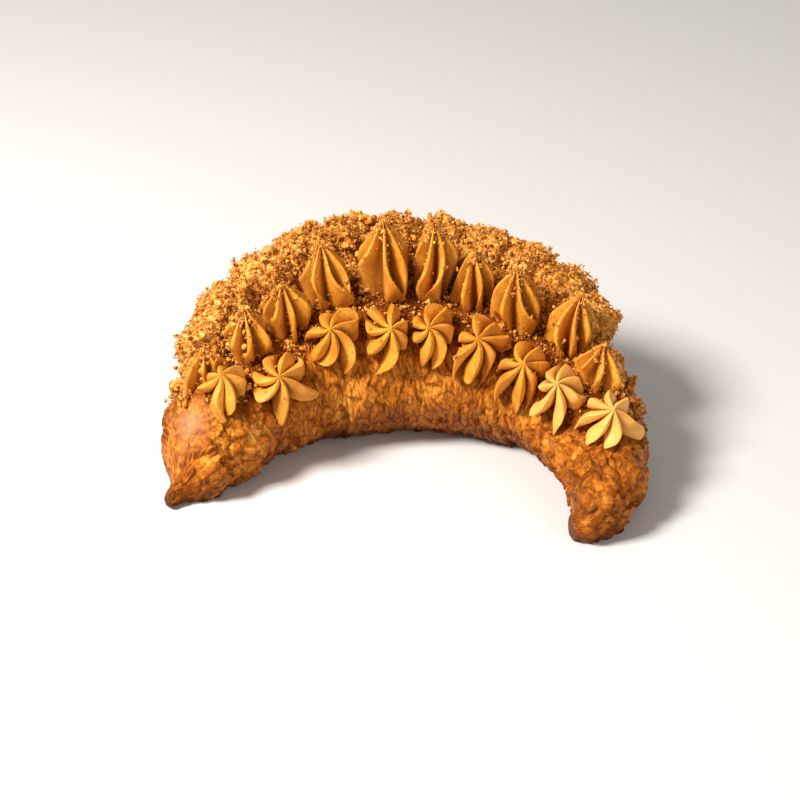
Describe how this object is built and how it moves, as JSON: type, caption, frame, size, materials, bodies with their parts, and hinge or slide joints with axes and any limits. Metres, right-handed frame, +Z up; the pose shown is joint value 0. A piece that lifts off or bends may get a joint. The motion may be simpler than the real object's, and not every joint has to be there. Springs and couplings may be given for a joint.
{
  "type": "tiramisu croissant",
  "caption": "Crescent-shaped flaky pastry topped with rows of piped cream stars and coarse golden crumbs; rests on its flat underside.",
  "frame": {"origin": "middle of the bounding box, on the resting plane", "axes": "+X along the crescent's width from the tailed end to the curled end, +Z up, -Y towards the open side between the horns"},
  "size_m": [0.1502, 0.1044, 0.0733],
  "materials": {
    "crust": "baked, lightly glossy",
    "cream": "satin"
  },
  "bodies": {
    "root": {"croissant": "crust", "cream_front_1": "cream", "cream_front_2": "cream", "cream_front_3": "cream", "cream_front_4": "cream", "cream_front_5": "cream", "cream_front_6": "cream", "cream_front_7": "cream", "cream_front_8": "cream", "cream_front_9": "cream", "cream_ridge_1": "cream", "cream_ridge_2": "cream", "cream_ridge_3": "cream", "cream_ridge_4": "cream", "cream_ridge_5": "cream", "cream_ridge_6": "cream", "cream_ridge_7": "cream", "cream_ridge_8": "cream", "cream_ridge_9": "cream", "cream_ridge_10": "cream", "cream_back_1": "cream", "cream_back_2": "cream", "cream_back_3": "cream", "cream_back_4": "cream", "cream_back_5": "cream", "cream_back_6": "cream", "cream_back_7": "cream", "cream_back_8": "cream", "cream_back_9": "cream", "cream_back_10": "cream", "cream_back_11": "cream"}
  },
  "joints": []
}
